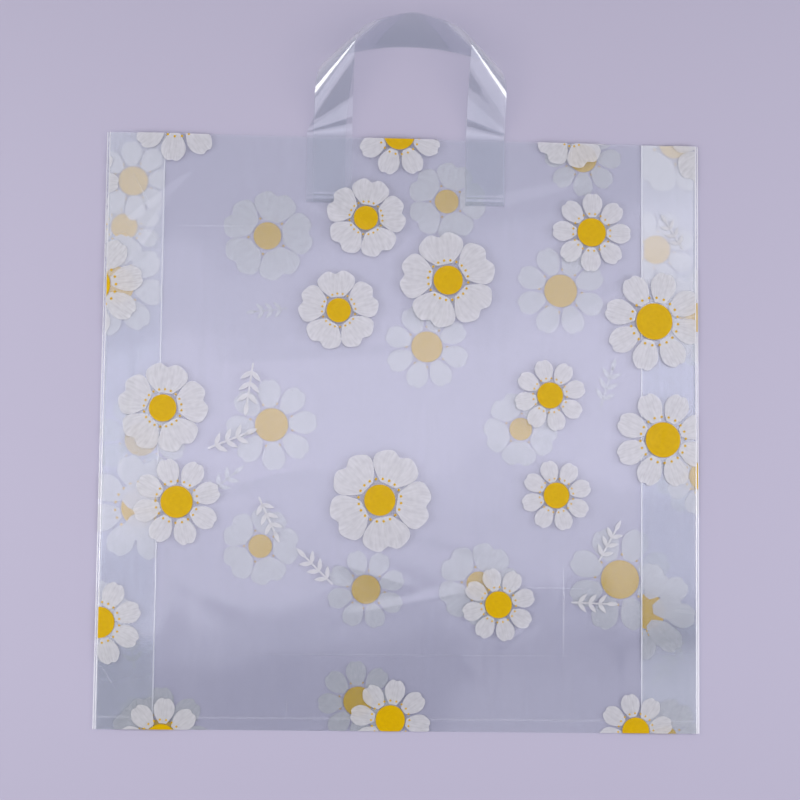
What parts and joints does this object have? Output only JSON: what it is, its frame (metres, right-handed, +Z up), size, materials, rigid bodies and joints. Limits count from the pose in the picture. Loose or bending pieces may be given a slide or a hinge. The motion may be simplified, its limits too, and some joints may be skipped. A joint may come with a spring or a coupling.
{
  "type": "plastic carrier bag",
  "caption": "Clear film carrier bag with side gussets, a welded bottom and a pair of soft loop handles, lying empty on its back.",
  "frame": {"origin": "middle of the bounding box, on the table that the bag lies on", "axes": "+X across the bag, +Y from its bottom seal to its handles, +Z up through its thickness"},
  "size_m": [0.45, 0.5388, 0.0364],
  "materials": {
    "clear_film": "gloss",
    "strip_film": "gloss",
    "white_print": "satin",
    "yellow_print": "satin"
  },
  "bodies": {
    "root": {"bag_body": "clear_film", "front_handle": "strip_film", "back_handle": "strip_film"}
  },
  "joints": []
}
